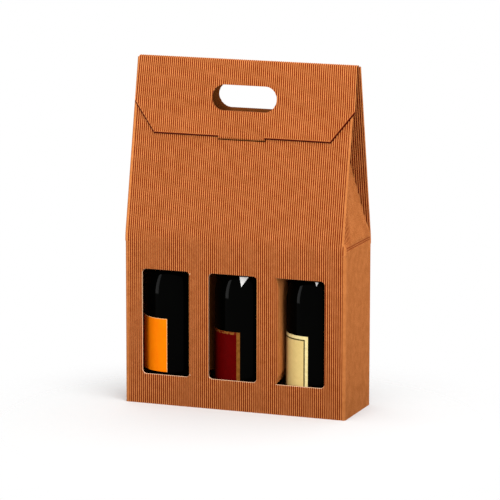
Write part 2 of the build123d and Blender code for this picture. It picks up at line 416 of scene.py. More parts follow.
def fluted_finish():
    """The dyed outer paper, with painted shade in its flute valleys and a painted shadow line at the lid's
    edge.
    """
    deep = (0.44, 0.144, 0.033, 1)
    pale = (0.7, 0.255, 0.076, 1)
    # Painted shade that the flute valleys darken towards.
    painted_valley_shade = (0.15, 0.0055, 0.00012, 1)
    # Painted shadow for the dark line under the lid's lower edge.
    painted_shadow_line_tone = (0.024, 0.0024, 0.0004, 1)
    crest_end, valley_start = 0.25, 0.75
    material, shader, colour = paper_finish("fluted_board", deep, pale, roughness=0.72, blotch_scale=90,
                                            fibre_scale=500, stretch=0.45, bump=0.25, sheen=0.05)
    tree = material.node_tree
    valley = add_node(tree, "ShaderNodeAttribute", {"attribute_name": "valley"})
    depth = add_node(tree, "ShaderNodeMapRange", From_Min=crest_end, From_Max=valley_start)
    # Past the valley level the colour runs on to the painted shadow line.
    seam_or_shadow_line = add_node(tree, "ShaderNodeMapRange", From_Min=VALLEY, From_Max=SHADOW_LINE)
    for reading in (depth, seam_or_shadow_line):
        tree.links.new(valley.outputs["Fac"], reading.inputs["Value"])
    colour = blend_colours(tree, depth.outputs[0], colour, painted_valley_shade)
    tree.links.new(blend_colours(tree, seam_or_shadow_line.outputs[0], colour, painted_shadow_line_tone), shader.inputs["Base Color"])
    return material


fluted_board = fluted_finish()
edge_grain = {"roughness": 0.9, "blotch_scale": 300, "fibre_scale": 2500, "stretch": 1, "bump": 0.4}
liner = paper_finish("board_liner", (0.265, 0.07, 0.013, 1), (0.375, 0.11, 0.023, 1), roughness=0.8,
                     blotch_scale=70, fibre_scale=700, stretch=0.35, bump=0.2, sheen=0.1)[0]
cut_edge = paper_finish("board_cut_edge", (0.6, 0.3, 0.16, 1), (0.86, 0.56, 0.36, 1), **edge_grain)[0]
# Cut edges of the leaning panels, gussets and lid, painted a deep brown as shade.
painted_shade_edge = paper_finish("board_painted_shade_edge", (0.24, 0.063, 0.012, 1), (0.39, 0.116, 0.027, 1), **edge_grain)[0]
board_finishes = (fluted_board, liner, cut_edge)
folded_finishes = (fluted_board, liner, painted_shade_edge)
print("board finishes:", [finish.name for finish in (*board_finishes, painted_shade_edge)])

# %% [markdown]
# ## Cutters
# Windows, hand holes and the slot are die-cut through the finished sheet. In Blender that is a
# Boolean: a closed prism of the hole's outline is taken away from the sheet. The prism's faces have the
# number of the cut-edge slot, so the faces that it leaves take the sheet's own edge finish. The cut
# adds points along the hole, and their place on the wave is read back from the uncut sheet.


# %% Prisms and the cut itself
def rounded_outline(width, height, radii, steps=12):
    """Corner points of a rectangle about its middle, with its own radius at each corner, anticlockwise."""
    corners = ((1, 1), (-1, 1), (-1, -1), (1, -1))
    points = []
    for k, ((sx, sy), radius) in enumerate(zip(corners, radii)):
        middle = (sx * (width / 2 - radius), sy * (height / 2 - radius))
        turns = [math.pi / 2 * (k + j / steps) for j in range(steps + 1)] if radius else [0]
        points += [(middle[0] + radius * math.cos(t), middle[1] + radius * math.sin(t)) for t in turns]
    return points


def prism(name, outline, near, far):
    """A closed prism: near and far turn a point of the outline into a place on each end."""
    count = len(outline)
    mesh = bpy.data.meshes.new(name)
    ends = [list(range(count)), list(range(2 * count - 1, count - 1, -1))]
    sides = [(k, (k + 1) % count, count + (k + 1) % count, count + k) for k in range(count)]
    mesh.from_pydata([near(p) for p in outline] + [far(p) for p in outline], [], ends + sides)
    mesh.polygons.foreach_set("material_index", [CUT] * len(mesh.polygons))
    return piece_from(mesh, board_finishes)


def carry_valleys(before, after):
    """Give each point of a cut sheet the valley share of the uncut sheet at the same place."""
    points = [vertex.co for vertex in before.vertices]
    polygons = [tuple(polygon.vertices) for polygon in before.polygons]
    shares = [entry.value for entry in before.attributes["valley"].data]
    lookup = BVHTree.FromPolygons(points, polygons)
    carried = []
    for vertex in after.vertices:
        spot, _, index, _ = lookup.find_nearest(vertex.co)
        corners = polygons[index]
        weights = poly_3d_calc([points[k] for k in corners], spot)
        carried.append(sum(weight * shares[k] for weight, k in zip(weights, corners)))
    after.attributes["valley"].data.foreach_set("value", carried)


def cut_away(sheet, cutters):
    """Take the cutters out of a sheet and keep the result as its own mesh."""
    for cutter in cutters:
        step = sheet.modifiers.new("cut", "BOOLEAN")
        step.operation = "DIFFERENCE"
        step.solver = "EXACT"
        step.object = cutter
    graph = bpy.context.evaluated_depsgraph_get()
    result = bpy.data.meshes.new_from_object(sheet.evaluated_get(graph), depsgraph=graph)
    carry_valleys(sheet.data, result)
    sheet.modifiers.clear()
    sheet.data = result
    for cutter in cutters:
        bpy.data.objects.remove(cutter)
    return sheet


def joined(name, sheets):
    """One object from several sheets, smooth along its waves and sharp where a face meets a cut."""
    with bpy.context.temp_override(active_object=sheets[0], selected_editable_objects=sheets):
        bpy.ops.object.join()
    whole = sheets[0]
    whole.name = name
    whole.data.name = name
    work = bmesh.new()
    work.from_mesh(whole.data)
    for face in work.faces:
        face.smooth = True
    for edge in work.edges:
        edge.smooth = len({face.material_index for face in edge.link_faces}) == 1
    work.to_mesh(whole.data)
    work.free()
    return whole


print("cutters ready")

# %% [markdown]
# ## Upright walls
# The four walls are one run of board round three bottles. Followed from the middle of the front, the
# outline is four straights and four small corners, so one function of the distance round it places
# every flute, and the flutes pass round the corners without a seam. The walls stop a little below
# the shoulder, where the softly bent sheets above take over.

# %% Walls with their windows
front_bend = 0.014
side_bend = 0.005
window_width = 0.0586
window_height = 0.1234
window_sill = 0.0353
window_pitch = 0.082
window_shift = -0.0022
window_radius = 0.005
cut_reach = 0.008
cut_slope = 0.3
press_reach = 0.0016
# Painted shade on pressed flutes at the folds and on the lid's rim.
painted_press_shade = 0.36
corner_run = math.pi / 2 * corner_radius
corner_places = [
    straight_x + corner_run / 2,
    straight_x + 2 * straight_y + corner_run * 3 / 2,
    3 * straight_x + 2 * straight_y + corner_run * 5 / 2,
    3 * straight_x + 4 * straight_y + corner_run * 7 / 2,
]


def wall_crest(along, share):
    """Crest of the walls at a distance round the outline; share is 0 at the foot and 1 at the top."""
    run = (along + straight_x) % outline_length
    for side in range(4):
        half_run, reach = (straight_x, half_depth) if side % 2 == 0 else (straight_y, half_width)
        across = Vector((math.cos(side * math.pi / 2), math.sin(side * math.pi / 2), 0))
        facing = Vector((across.y, -across.x, 0))
        if run <= 2 * half_run:
            outward = facing
            point = facing * reach + across * (run - half_run)
            break
        run -= 2 * half_run
        if run <= corner_run:
            turn = run / corner_radius
            outward = facing * math.cos(turn) + across * math.sin(turn)
            point = facing * (reach - corner_radius) + across * half_run + outward * corner_radius
            break
        run -= corner_run
    side_share = outward.x ** 2
    top = shoulder - front_bend / 2 * (1 - side_share) - side_bend / 2 * side_share
    return point + Vector((0, 0, share * top)), outward


def wall_press(along, share):
    """The four corners press the flutes flat on their bends and beside them, with a little painted shade
    there.
    """
    nearest = min(abs(along - place) for place in corner_places)
    kept = eased((nearest - corner_run / 2) / press_reach)
    return kept, painted_press_shade * (1 - kept)


def window_cutter(place, radii, folded_side=0):
    """A prism through the front wall at a window, a little wider in front except at a folded side."""
    outline = rounded_outline(window_width, window_height, radii)
    middle = window_sill + window_height / 2

    def at(depth):
        wider = cut_slope * (board - depth)

        def place_point(p):
            sideways = 0 if p[0] * folded_side > 0 else wider * math.copysign(1, p[0])
            upward = wider * math.copysign(1, p[1])
            across = window_shift + place * window_pitch + p[0]
            return (across + sideways, depth - half_depth, middle + p[1] + upward)

        return place_point

    return prism("window_cutter", outline, at(-cut_reach), at(cut_reach))


wall_columns = [k * flute_step / columns_per_flute for k in range(flute_count * columns_per_flute)]
wall_mesh = sheet_mesh("walls", wall_columns, (0, 1), wall_crest, ring=True, press_at=wall_press)
walls = piece_from(wall_mesh, board_finishes)
round_all = (window_radius,) * 4
round_right = (window_radius, 0, 0, window_radius)
windows = [window_cutter(-1, round_all, folded_side=1), window_cutter(0, round_all),
           window_cutter(1, round_right, folded_side=-1)]
cut_away(walls, windows)
print("walls:", len(walls.data.polygons), "faces")

# %% [markdown]
# ## Leaning front and back
# Above the shoulder the front and back lean in to the ridge. Board doesn't crease sharply along a
# wide panel, so the bend is spread over a short arc. At each side the sheet doubles back on itself,
# which gives the upper edges their round double thickness, and the rest of it is the wing inside.
# A fold presses the flutes flat, and the front right one sits a little further in than the others.

# %% Leaning panels
fold_clearance = 0.00005
fold_radius = board + fold_clearance
fold_flat = half_width - fold_radius
fold_insets = {(1, -1): 0.0038}
inset_rise = 0.008
bend_steps = 6
panel_steps = 4


def bent(along, bend, turn):
    """Travel inward, travel upward and lean of a wall that bends softly, at a distance past its crease."""
    radius = bend / turn
    angle = min(max((along + bend / 2) / radius, 0), turn)
    before = min(along + bend / 2, 0)
    after = max(along - bend / 2, 0)
    inward = radius * (1 - math.cos(angle)) + after * math.sin(turn)
    upward = before + radius * math.sin(angle) + after * math.cos(turn) - bend / 2
    return inward, upward, angle


def panel_frame(along, facing):
    """Middle of a leaning panel's crest and its outward direction; facing is -1 for the front."""
    inward, upward, angle = bent(along, front_bend, lean)
    point = Vector((0, facing * (half_depth - inward), shoulder + upward))
    return point, Vector((0, facing * math.cos(angle), math.sin(angle)))


def fold_start(along, side, facing):
    """Where a panel's round side fold begins; one of the four was folded a little further in."""
    return fold_flat - fold_insets.get((side, facing), 0) * eased(along / inset_rise)


def panel_crest(facing):
    """Crest of a leaning panel, which turns back on itself at both sides."""

    def crest(across, along):
        point, outward = panel_frame(along, facing)
        side = math.copysign(1, across)
        flat = fold_start(along, side, facing)
        turn = min(max(abs(across) - flat, 0) / fold_radius, math.pi)
        beyond = max(abs(across) - flat - math.pi * fold_radius, 0)
        sideways = Vector((side * (min(abs(across), flat) + fold_radius * math.sin(turn) - beyond), 0, 0))
        around = outward * math.cos(turn) + Vector((side * math.sin(turn), 0, 0))
        return point + sideways - outward * fold_radius * (1 - math.cos(turn)), around

    return crest


def panel_press(facing):
    """The side folds press the flutes flat on the outer half of their bends, with a little painted shade
    there.
    """

    def press(across, along):
        past = abs(across) - fold_start(along, math.copysign(1, across), facing)
        kept = eased(max(-past, past - math.pi / 2 * fold_radius) / press_reach)
        return kept, painted_press_shade * (1 - kept)

    return press


panel_end = fold_flat + math.pi * fold_radius
bend_rows = [front_bend * (k / bend_steps - 0.5) for k in range(bend_steps + 1)]
panel_rows = bend_rows + [panel_length * k / panel_steps for k in range(1, panel_steps + 1)]
panel_columns = wave_columns(-panel_end, panel_end)
leaning = []
for facing in (-1, 1):
    mesh = sheet_mesh("panel", panel_columns, panel_rows, panel_crest(facing), press_at=panel_press(facing))
    leaning.append(piece_from(mesh, folded_finishes))
front_panel, back_panel = leaning
print("leaning panels:", len(panel_columns), "columns by", len(panel_rows), "rows")

# %% [markdown]
# ## Hand hole and slot
# One stadium-shaped hole goes through the lid, the front and the back, so that a hand can carry all
# three layers at once. The slot under the lid's edge takes its tab. Both are cut with the prisms
# from above; the hole's prism runs from front to back, as the die cuts of the real layers line up.

# %% Cuts in the leaning panels
handle_width = 0.079
handle_height = 0.029
handle_drop = 0.0438
lid_clearance = 0.0003
lid_length = 0.0884
tab_width = 0.056
tab_bend = 0.0026
slot_room = 0.0009

slope = Vector((0, math.sin(lean), math.cos(lean)))
front_out = Vector((0, -math.cos(lean), math.sin(lean)))
crease = Vector((0, -half_depth, shoulder))
flap_foot = crease + front_out * (lid_clearance + board)
ridge_front = flap_foot + slope * ((lid_high.z - flap_foot.z) / slope.z)
flap_end = ridge_front - slope * lid_length
handle_middle = lid_high.z - handle_drop * math.cos(lean)


def handle_cutter(from_y, to_y):
    """A stadium prism along the carton's depth."""
    outline = rounded_outline(handle_width, handle_height, (handle_height / 2,) * 4, steps=16)

    def at(y):
        return lambda p: (p[0], y, handle_middle + p[1])

    return prism("handle_cutter", outline, at(from_y), at(to_y))


def slot_cutter():
    """A box through the front panel, just below the edge of the lid's flap."""
    height = board + 2 * slot_room
    middle = flap_end - slope * (tab_bend - board / 2)
    outline = rounded_outline(tab_width + 2 * slot_room, height, (0,) * 4)

    def at(depth):
        return lambda p: Vector((p[0], 0, 0)) + middle + slope * p[1] + front_out * depth

    return prism("slot_cutter", outline, at(-cut_reach), at(0))


cut_away(front_panel, [handle_cutter(-half_depth, 0), slot_cutter()])
cut_away(back_panel, [handle_cutter(0, half_depth)])
print("hand hole at height", round(handle_middle, 4))

# %% [markdown]
# ## Gussets
# Each side folds in like the top of a milk carton: a triangle tips inward between two wings, and the
# wings lie flat against the front and back. Each is a sheet whose rows end on the diagonal fold, so
# its height depends on the column. The crease that a side tips on is scored, which leaves two fine
# grooves with painted shade in them and a ridge between them, and thick board stays full at the
# triangle's lower corners.

# %% Triangles and wings
side_lean = math.atan2(half_depth, panel_top - shoulder)
gusset_length = math.hypot(half_depth, panel_top - shoulder)
triangle_half = half_depth - 2 * fold_radius
tip_margin = 0.0012
corner_rise = 0.024
corner_spread = 0.018
crease_half = 0.0014
crease_depth = 0.0011
triangle_shares = (0.03, 0.06, 0.1, 0.15, 0.22, 0.35, 0.6, 1)


def crease_dip(along):
    """Up to about 1 in the two grooves beside a scored crease, 0 on it and at the ends of its bend."""
    grooves = (along / crease_half) ** 2 * math.exp(1 - (along / crease_half) ** 2)
    return grooves * max(1 - (2 * along / side_bend) ** 2, 0)


def triangle_crest(side):
    """Crest of a side's triangle; a row is a start past the crease and a share of the way from there on."""

    def crest(across, row):
        start, share = row
        edge = max(gusset_length * (1 - abs(across) / triangle_half), side_bend / 2 + tip_margin)
        along = start + share * (edge - side_bend / 2)
        inward, upward, angle = bent(along, side_bend, side_lean)
        from_edge = triangle_half * (1 - max(along, 0) / gusset_length) - abs(across)
        near_edge = eased(1 - from_edge / corner_spread)
        inset = fold_insets.get((side, math.copysign(1, across)), 0)
        inward += inset * near_edge * eased(along / inset_rise)
        held = 0 if inset else near_edge * eased(1 - along / corner_rise)
        outward = Vector((side * math.cos(angle), 0, math.sin(angle)))
        point = Vector((side * (half_width - inward * (1 - held)), across, shoulder + upward))
        return point - outward * (crease_depth * crease_dip(along)), outward

    return crest


def triangle_press(across, row):
    """Painted shade in the two grooves of a side's scored crease."""
    start, share = row
    return 1, VALLEY * crease_dip(start) if share == 0 else 0


def wing_crest(side, facing):
    """Crest of a wing, which runs on from the panel's fold and faces inward; a row is a share of its run."""

    def crest(across, share):
        inset = across - panel_end
        low = max(panel_length * inset / half_depth, front_bend / 2)
        along = low + share * (panel_length - low)
        point, outward = panel_frame(along, facing)
        start = 2 * fold_start(along, side, facing) - fold_flat
        point = point + Vector((side * (start - inset), 0, 0))
        return point - outward * (2 * fold_radius), -outward

    return crest


triangle_columns = wave_columns(-triangle_half, triangle_half)
triangle_rows = [(side_bend * (k / bend_steps - 0.5), 0) for k in range(bend_steps + 1)]
triangle_rows += [(side_bend / 2, share) for share in triangle_shares]
wing_columns = wave_columns(panel_end, panel_end + half_depth - tip_margin)
gussets = []
for side in (-1, 1):
    mesh = sheet_mesh("triangle", triangle_columns, triangle_rows, triangle_crest(side),
                      press_at=triangle_press)
    gussets.append(piece_from(mesh, folded_finishes))
    for facing in (-1, 1):
        mesh = sheet_mesh("wing", wing_columns, (0, 1), wing_crest(side, facing))
        gussets.append(piece_from(mesh, folded_finishes))
print("gusset sheets:", len(gussets))

# %% [markdown]
# ## Dividers and base
# The cut-outs of the two outer windows aren't thrown away: they stay joined along one edge and fold
# in between the bottles. Each leaves the front in a round bend. The base is two flaps that hook past
# each other at a stepped seam, with a second layer above them.

# %% Dividers
divider_bends = {-1: 0.0008, 1: 0.0028}
divider_tight_bend = 0.0006
divider_flare = 0.012
divider_length = window_width
divider_play = 0.003
divider_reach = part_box("bottle_right")[0].x - divider_play
divider_shares = (0, 0.02, 0.04, 0.06, 0.08, 0.1, 0.3, 0.5, 0.7, 0.9, 0.92, 0.94, 0.96, 0.98, 1)


def divider_crest(side):
    """Where a divider folds, and its crest; a row is 0 at its foot and 1 at its top."""
    fold = side * window_shift + window_pitch - window_width / 2
    full_bend = divider_bends[side]
    full_turn = math.pi / 2 + math.atan2(fold + full_bend - divider_reach, half_depth - full_bend)

    def crest(across, share):
        past = across - fold
        from_end = min(share, 1 - share) * window_height
        bend = divider_tight_bend + (full_bend - divider_tight_bend) * eased(from_end / divider_flare)
        turn = min(past / bend, full_turn)
        after = max(past - full_turn * bend, 0)
        x = fold + bend * math.sin(turn) + after * math.cos(full_turn)
        y = bend * (1 - math.cos(turn)) + after * math.sin(full_turn) - half_depth
        near_fold = max(window_radius - past, 0) if side < 0 else 0
        into_corner = max(past - (divider_length - window_radius), near_fold)
        lost = window_radius - math.sqrt(max(window_radius ** 2 - into_corner ** 2, 0))
        z = window_sill + lost + share * (window_height - 2 * lost)
        return Vector((side * x, y, z)), Vector((side * math.sin(turn), -math.cos(turn), 0))

    return fold, crest


dividers = []
for side in (-1, 1):
    fold, crest = divider_crest(side)
    mesh = sheet_mesh("divider", wave_columns(fold, fold + divider_length), divider_shares, crest)
    dividers.append(piece_from(mesh, board_finishes))
print("dividers:", len(dividers))

# %% Base flaps
base_seam = 0.0008
seam_step = 0.009
inside_x = half_width - board
inside_y = half_depth - board


def flap_crest(from_y, to_y, height):
    """Crest of a flat flap that faces down; a row is a share of its run from front to back."""

    def crest(across, share):
        return Vector((across, from_y + share * (to_y - from_y), height)), Vector((0, 0, -1))

    return crest


base_flaps = []
for side in (-1, 1):
    seam_or_shadow_line = -side * seam_step
    columns = wave_columns(*sorted((side * base_seam / 2, side * inside_x)))
    for from_y, to_y in ((-inside_y, seam_or_shadow_line - base_seam / 2), (seam_or_shadow_line + base_seam / 2, inside_y)):
        mesh = sheet_mesh("flap", columns, (0, 1), flap_crest(from_y, to_y, 0))
        base_flaps.append(piece_from(mesh, board_finishes))
upper_mesh = sheet_mesh("upper_flap", wave_columns(-inside_x, inside_x), (0, 1),
                        flap_crest(-inside_y, inside_y, board))
base_flaps.append(piece_from(upper_mesh, board_finishes))
print("base flaps:", len(base_flaps))

# %% [markdown]
# ## One carton
# All these sheets are one die-cut blank on the real object, so they become one piece. It stands for
# the carton's solid and rides on the carton's body.

# %% Join the carton
carton_board = joined("carton_board", [walls, front_panel, back_panel, *gussets, *dividers, *base_flaps])
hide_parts("carton")
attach(carton_board, "carton")
print("carton board:", len(carton_board.data.polygons), "faces")

# %% [markdown]
# ## Lid
# The lid is the part of the blank that comes over the ridge from the back. Its path in side view is
# a slope, a tight bend, the narrow strip on top and a bend down to the hinge. The bends are arcs
# between straights, and every column of the sheet follows the same path, apart from the lower edge,
# which is cut back at its corners. The die crushes that edge to a pale rim, rolled over to a dark line
# of painted shadow.
# The back bend stays a little short of the hinge, which leaves the lid room to swing right over.

# %% A folded path
lid_side_length = 0.0538
lid_chamfer = 0.0265
ridge_bend = 0.0022
back_bend = 0.00165
lip_drop = 0.0017
hinge_play = 0.0006
edge_room = 0.006
arc_steps = 6


def folded_path(corners, radii):
    """Points and left-hand directions along a path in side view, with an arc at each inner corner."""
    stations = []
    headings = [(b - a).normalized() for a, b in zip(corners, corners[1:])]
    left = [Vector((0, -h.z, h.y)) for h in headings]
    stations.append((corners[0], left[0]))
    for corner, radius, (before, after), (out_a, out_b) in zip(
            corners[1:-1], radii, zip(headings, headings[1:]), zip(left, left[1:])):
        turn = before.angle(after)
        start = corner - before * (radius * math.tan(turn / 2))
        hand = math.copysign(1, out_a.dot(after))
        middle = start + out_a * (hand * radius)
        for k in range(arc_steps + 1):
            outward = out_a.slerp(out_b, k / arc_steps)
            stations.append((middle - outward * (hand * radius), outward))
    stations.append((corners[-1], left[-1]))
    return stations


lid_back = Vector((0, ridge_half - hinge_play, lid_high.z))
lid_lip = lid_back - Vector((0, 0, lip_drop))
flap_stop = ridge_front - slope * (lid_side_length - edge_room)
upper_path = folded_path([flap_stop, ridge_front, lid_back, lid_lip], [ridge_bend, back_bend])
print("lid path stations:", len(upper_path))

# %% Lid sheet and tab
EDGE, RIM, ABOVE = -3, -2, -1
lid_low_inset = 0.0013
lid_high_inset = 0.0026
# Painted shadow along the lid's lower edge, set past the line's level so that it spreads wider.
painted_edge_shadow = 3
edge_lift = {RIM: 0.0015, ABOVE: 0.0027}
edge_roll = 0.0012
chamfer_lift = 1.65


def lid_crest(across, row):
    """Crest of the lid; rows below 0 are its crushed lower edge, and the others are stations of its path."""
    taper = 1 - (lid_low_inset if row <= 0 else lid_high_inset) / half_width
    if row >= 0:
        point, outward = upper_path[row]
    else:
        beyond = max(abs(across) - (half_width - lid_chamfer), 0) / lid_chamfer
        point = flap_end + slope * (beyond * (lid_length - lid_side_length))
        outward = front_out
        if row == EDGE and abs(across) > tab_width / 2:
            outward = -slope
            point = point - front_out * board + slope * (edge_roll - board)
        elif row != EDGE:
            point = point + slope * edge_lift[row] * (chamfer_lift if beyond else 1)
    return point + Vector((across * taper, 0, 0)), outward


def lid_press(across, row):
    """The die crushes the flutes along the lower edge to a pale rim with a little painted shade, and a
    painted shadow line runs below it, but not at the tab.
    """
    if row >= ABOVE or abs(across) <= tab_width / 2:
        return 1, 0
    return 0, painted_edge_shadow if row == EDGE else painted_press_shade


tab_depth = 0.010
tab_corner = flap_end - slope * tab_bend
tab_path = folded_path([tab_corner - front_out * tab_depth, tab_corner, flap_end], [tab_bend])


def tab_crest(across, row):
    """Crest of the tab, which leaves the flap's edge and turns in through the slot."""
    point, outward = tab_path[row]
    return point + Vector((across, 0, 0)), outward


lid_columns = wave_columns(-half_width, half_width)
lid_rows = [EDGE, RIM, ABOVE, *range(len(upper_path))]
lid_mesh = sheet_mesh("lid_sheet", lid_columns, lid_rows, lid_crest, press_at=lid_press)
lid_sheet = piece_from(lid_mesh, folded_finishes)
cut_away(lid_sheet, [handle_cutter(-half_depth, -ridge_half)])
tab_columns = wave_columns(-tab_width / 2, tab_width / 2)
tab = piece_from(sheet_mesh("tab", tab_columns, range(len(tab_path)), tab_crest), folded_finishes)
lid_board = joined("lid_board", [lid_sheet, tab])
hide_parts("lid")
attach(lid_board, "lid")
print("lid board:", len(lid_board.data.polygons), "faces")

# %% [markdown]
# ## Bottles
# A bottle is blown in a round mould, so it is a profile turned about its axis. The solids have fine
# flats; here the same profile is turned with many more steps. The glass is so dark with the wine
# in it that it works as a black gloss surface with a trace of green.

# %% Turned bottles
bottle_low, bottle_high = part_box("bottle_middle")
capsule_low, capsule_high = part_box("capsule_middle")
bottle_radius = bottle_high.x
bottle_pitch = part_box("bottle_right")[1].x - bottle_radius
neck_radius = 0.0146
body_height = 0.124
neck_start = 0.205
foot_radius = 0.004
shoulder_bend_share = 0.42
foot_steps = 6
shoulder_steps = 20
turned_steps = 96
sharp_angle = math.radians(40)


def shoulder_profile():
    """Radius and height along the shoulder, two arcs that bend in at the body and out at the neck."""
    rise = neck_start - body_height
    turn = 2 * math.atan2(bottle_radius - neck_radius, rise)
    both = rise / math.sin(turn)
    bend = both * shoulder_bend_share
    hollow = both - bend
    angles = [turn * k / shoulder_steps for k in range(shoulder_steps + 1)]
    low = [(bottle_radius - bend * (1 - math.cos(a)), body_height + bend * math.sin(a)) for a in angles]
    high = [(neck_radius + hollow * (1 - math.cos(a)), neck_start - hollow * math.sin(a)) for a in angles]
    return low + high[-2::-1]


def smooth_piece(mesh, material):
    """An object with smooth faces that stays sharp along its edges."""
    mesh.polygons.foreach_set("use_smooth", [True] * len(mesh.polygons))
    piece = piece_from(mesh, [material])
    mesh.set_sharp_from_angle(angle=sharp_angle)
    return piece


def turned_piece(name, profile, foot, material):
    """A closed round form about an upright axis through its foot."""
    count = len(profile)
    points = []
    for k in range(turned_steps):
        angle = 2 * math.pi * k / turned_steps
        across = Vector((math.cos(angle), math.sin(angle), 0))
        points += [foot + across * radius + Vector((0, 0, height)) for radius, height in profile]
    faces = []
    for k in range(turned_steps):
        a, b = k * count, (k + 1) % turned_steps * count
        faces += [(a + j, b + j, b + j + 1, a + j + 1) for j in range(count - 1)]
    faces.append([k * count for k in reversed(range(turned_steps))])
    faces.append([k * count + count - 1 for k in range(turned_steps)])
    mesh = bpy.data.meshes.new(name)
    mesh.from_pydata(points, [], faces)
    return smooth_piece(mesh, material)


def dark_glass_finish():
    """Glass that looks black with wine behind it."""
    deep = (0.0003, 0.0003, 0.00025, 1)
    pale = (0.0007, 0.0008, 0.0006, 1)
    material, tree, shader = new_material("dark_glass", Specular_IOR_Level=0.015)
    flow = add_node(tree, "ShaderNodeTexNoise", Scale=35, Detail=2)
    place = add_node(tree, "ShaderNodeTexCoord")
    tree.links.new(place.outputs["Object"], flow.inputs["Vector"])
    tree.links.new(blend_colours(tree, flow.outputs["Fac"], deep, pale), shader.inputs["Base Color"])
    gloss = add_node(tree, "ShaderNodeMapRange", To_Min=0.05, To_Max=0.11)
    tree.links.new(flow.outputs["Fac"], gloss.inputs["Value"])
    tree.links.new(gloss.outputs[0], shader.inputs["Roughness"])
    return material


dark_glass = dark_glass_finish()
foot_arc = [(bottle_radius - foot_radius * (1 - math.sin(a)), foot_radius * (1 - math.cos(a)))
            for a in (math.pi / 2 * k / foot_steps for k in range(foot_steps + 1))]
neck_end = bottle_high.z - bottle_low.z
bottle_profile = foot_arc + shoulder_profile() + [(neck_radius, neck_end)]
bottle_sides = {"left": -1, "middle": 0, "right": 1}
for side, place in bottle_sides.items():
    foot = Vector((place * bottle_pitch, 0, bottle_low.z))
    bottle = turned_piece("glass_" + side, bottle_profile, foot, dark_glass)
    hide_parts("bottle_" + side)
    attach(bottle, "carton")
print("bottle profile points:", len(bottle_profile))

# %% [markdown]
# ## Capsules
# A foil capsule is drawn over the mouth: straight down the neck, with a bead where it covers the
# glass ring and a soft edge at its top. It hides inside the closed carton, but shows when the lid is
# up, so it gets its own turned profile and a satin foil finish with fine drawn lines.


# %% Foil capsules
def foil_finish():
    """Dark red painted foil with fine lines along the neck."""
    deep = (0.035, 0.006, 0.008, 1)
    pale = (0.075, 0.016, 0.018, 1)
    material, tree, shader = new_material("capsule_foil", Metallic=0.6)
    drawn = add_node(tree, "ShaderNodeTexNoise", Scale=220, Detail=3)
    place = add_node(tree, "ShaderNodeTexCoord")
    squeeze = add_node(tree, "ShaderNodeMapping", Scale=(1, 1, 0.06))
    tree.links.new(place.outputs["Object"], squeeze.inputs["Vector"])
    tree.links.new(squeeze.outputs[0], drawn.inputs["Vector"])
    tree.links.new(blend_colours(tree, drawn.outputs["Fac"], deep, pale), shader.inputs["Base Color"])
    gloss = add_node(tree, "ShaderNodeMapRange", To_Min=0.3, To_Max=0.5)
    tree.links.new(drawn.outputs["Fac"], gloss.inputs["Value"])
    tree.links.new(gloss.outputs[0], shader.inputs["Roughness"])
    return material


capsule_foil = foil_finish()
capsule_radius = (capsule_high.x - capsule_low.x) / 2
capsule_length = capsule_high.z - capsule_low.z
bead_top_share = 0.94
bead_low_share = 0.76
bead_step = 0.0006
top_round = 0.0015
capsule_profile = [
    (capsule_radius - bead_step, 0),
    (capsule_radius - bead_step, capsule_length * bead_low_share),
    (capsule_radius, capsule_length * bead_low_share + bead_step),
    (capsule_radius, capsule_length * bead_top_share),
    (capsule_radius - bead_step, capsule_length * bead_top_share + bead_step),
    (capsule_radius - bead_step, capsule_length - top_round),
    (capsule_radius - bead_step - top_round / 3, capsule_length - top_round / 3),
    (capsule_radius - bead_step - top_round, capsule_length),
]
for side, place in bottle_sides.items():
    foot = Vector((place * bottle_pitch, 0, capsule_low.z))
    capsule = turned_piece("foil_" + side, capsule_profile, foot, capsule_foil)
    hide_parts("capsule_" + side)
    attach(capsule, "carton")
print("capsule length", round(capsule_length, 4))

# %% [markdown]
# ## Labels
# The labels are paper, wrapped on the glass. Each is a curved sheet of paper thickness with its own
# flat map, measured in metres from its top right corner, so that a border of a given width can be
# drawn in the material. They carry plain fields of colour and borders.

# %% Wrapped labels
paper = 0.00025
paper_clearance = 0.00005
label_turn = math.radians(118)
label_right_turns = {"left": math.radians(4.3), "middle": math.radians(7.2), "right": math.radians(-0.6)}
label_steps = 48


def label_piece(side, material):
    """A paper sheet round the body of a bottle, with a flat map from its top right corner."""
    low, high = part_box("label_" + side)
    axis = Vector((bottle_sides[side] * bottle_pitch, 0, 0))
    inner = bottle_radius + paper_clearance
    points, flat = [], []
    for radius in (inner, inner + paper):
        for k in range(label_steps + 1):
            angle = label_right_turns[side] - math.pi / 2 - label_turn * k / label_steps
            spoke = Vector((math.cos(angle), math.sin(angle), 0)) * radius
            for height in (low.z, high.z):
                points.append(axis + spoke + Vector((0, 0, height)))
                flat.append((label_turn * k / label_steps * inner, high.z - height))
    back = 2 * (label_steps + 1)
    faces = []
    for k in range(label_steps):
        a, b = 2 * k, 2 * k + 2
        faces += [(a, a + 1, b + 1, b), (a + back, b + back, b + 1 + back, a + 1 + back)]
        faces += [(a, b, b + back, a + back), (a + 1, a + 1 + back, b + 1 + back, b + 1)]
    last = 2 * label_steps
    faces += [(0, back, back + 1, 1), (last, last + 1, last + 1 + back, last + back)]
    mesh = bpy.data.meshes.new("paper_" + side)
    mesh.from_pydata(points, [], faces)
    layer = mesh.uv_layers.new(name="label_flat")
    for loop in mesh.loops:
        layer.data[loop.index].uv = flat[loop.vertex_index]
    return smooth_piece(mesh, material)


print("label pieces of", label_steps, "steps")


